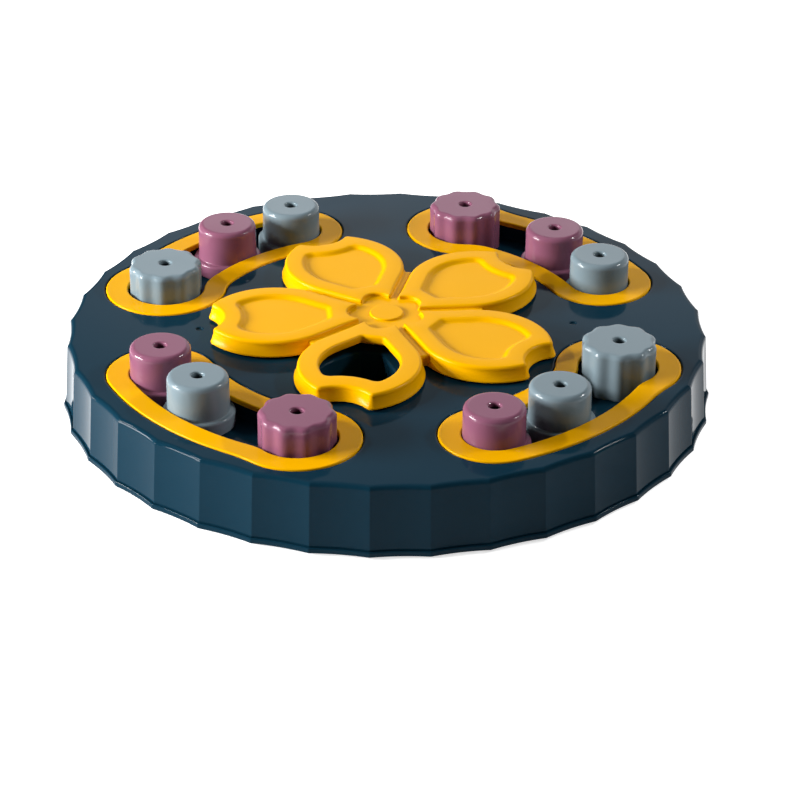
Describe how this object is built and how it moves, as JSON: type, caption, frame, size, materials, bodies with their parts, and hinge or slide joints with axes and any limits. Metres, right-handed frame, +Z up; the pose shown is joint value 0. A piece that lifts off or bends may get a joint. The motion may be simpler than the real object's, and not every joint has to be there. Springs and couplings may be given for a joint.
{
  "type": "dog puzzle feeder",
  "caption": "Round fluted treat board for a dog, with a turning flower over treat pockets and curved troughs with sliding knobs and lift-out plugs.",
  "frame": {"origin": "centre of the board, on the surface that its feet stand on", "axes": "+Z up along the flower's turning axis, -Y towards the front as pictured, +X to the right"},
  "size_m": [0.249, 0.249, 0.0403],
  "materials": {
    "tray_plastic": "glossy dark blue-grey moulded plastic",
    "yellow_plastic": "satin golden yellow moulded plastic",
    "plum_plastic": "semi-gloss dusty plum moulded plastic",
    "grey_plastic": "semi-gloss blue-grey moulded plastic",
    "foot_rubber": "matt dark rubber",
    "pivot_steel": "plain zinc-plated steel"
  },
  "bodies": {
    "tray": {"base_tray": "tray_plastic", "trough_pan_back_right": "tray_plastic", "trough_pan_back_left": "tray_plastic", "trough_pan_front_left": "tray_plastic", "trough_pan_front_right": "tray_plastic", "pocket_pan_left": "tray_plastic", "pocket_pan_front_left": "tray_plastic", "pocket_pan_front_right": "tray_plastic", "pocket_pan_back_right": "tray_plastic", "pocket_pan_back_left": "tray_plastic", "track_ring_back_right": "yellow_plastic", "track_ring_back_left": "yellow_plastic", "track_ring_front_left": "yellow_plastic", "track_ring_front_right": "yellow_plastic", "foot_right": "foot_rubber", "foot_back": "foot_rubber", "foot_left": "foot_rubber", "foot_front": "foot_rubber"},
    "turntable": {"flower_turntable": "yellow_plastic", "pivot_washer": "pivot_steel", "pivot_screw": "pivot_steel"},
    "mid_back_right": {"mid_slider_back_right": "plum_plastic"},
    "end_back_right": {"end_slider_back_right": "grey_plastic"},
    "plug_back_right": {"lift_plug_back_right": "plum_plastic"},
    "mid_back_left": {"mid_slider_back_left": "plum_plastic"},
    "end_back_left": {"end_slider_back_left": "grey_plastic"},
    "plug_back_left": {"lift_plug_back_left": "grey_plastic"},
    "mid_front_left": {"mid_slider_front_left": "grey_plastic"},
    "end_front_left": {"end_slider_front_left": "plum_plastic"},
    "plug_front_left": {"lift_plug_front_left": "plum_plastic"},
    "mid_front_right": {"mid_slider_front_right": "grey_plastic"},
    "end_front_right": {"end_slider_front_right": "plum_plastic"},
    "plug_front_right": {"lift_plug_front_right": "grey_plastic"}
  },
  "joints": [
    {"name": "flower_turn", "type": "hinge", "parent": "tray", "child": "turntable", "pos_m": [0, 0, 0.0284], "axis": [0, 0, 1], "continuous": true},
    {"name": "mid_slide_back_right", "type": "hinge", "parent": "tray", "child": "mid_back_right", "pos_m": [0, 0, 0.0204], "axis": [0, 0, 1], "range_deg": [-1.25, 8.99]},
    {"name": "end_slide_back_right", "type": "hinge", "parent": "tray", "child": "end_back_right", "pos_m": [0, 0, 0.0204], "axis": [0, 0, 1], "range_deg": [0, 1.25]},
    {"name": "plug_lift_back_right", "type": "slide", "parent": "tray", "child": "plug_back_right", "axis": [0, 0, 1], "range_m": [0, 0.025]},
    {"name": "mid_slide_back_left", "type": "hinge", "parent": "tray", "child": "mid_back_left", "pos_m": [0, 0, 0.0204], "axis": [0, 0, 1], "range_deg": [-1.94, 8.3]},
    {"name": "end_slide_back_left", "type": "hinge", "parent": "tray", "child": "end_back_left", "pos_m": [0, 0, 0.0204], "axis": [0, 0, 1], "range_deg": [0, 1.94]},
    {"name": "plug_lift_back_left", "type": "slide", "parent": "tray", "child": "plug_back_left", "axis": [0, 0, 1], "range_m": [0, 0.025]},
    {"name": "mid_slide_front_left", "type": "hinge", "parent": "tray", "child": "mid_front_left", "pos_m": [0, 0, 0.0204], "axis": [0, 0, 1], "range_deg": [-0.18, 10.35]},
    {"name": "end_slide_front_left", "type": "hinge", "parent": "tray", "child": "end_front_left", "pos_m": [0, 0, 0.0204], "axis": [0, 0, 1], "range_deg": [0, 0.18]},
    {"name": "plug_lift_front_left", "type": "slide", "parent": "tray", "child": "plug_front_left", "axis": [0, 0, 1], "range_m": [0, 0.025]},
    {"name": "mid_slide_front_right", "type": "hinge", "parent": "tray", "child": "mid_front_right", "pos_m": [0, 0, 0.0204], "axis": [0, 0, 1], "range_deg": [-1.12, 9.41]},
    {"name": "end_slide_front_right", "type": "hinge", "parent": "tray", "child": "end_front_right", "pos_m": [0, 0, 0.0204], "axis": [0, 0, 1], "range_deg": [0, 1.12]},
    {"name": "plug_lift_front_right", "type": "slide", "parent": "tray", "child": "plug_front_right", "axis": [0, 0, 1], "range_m": [0, 0.025]}
  ]
}
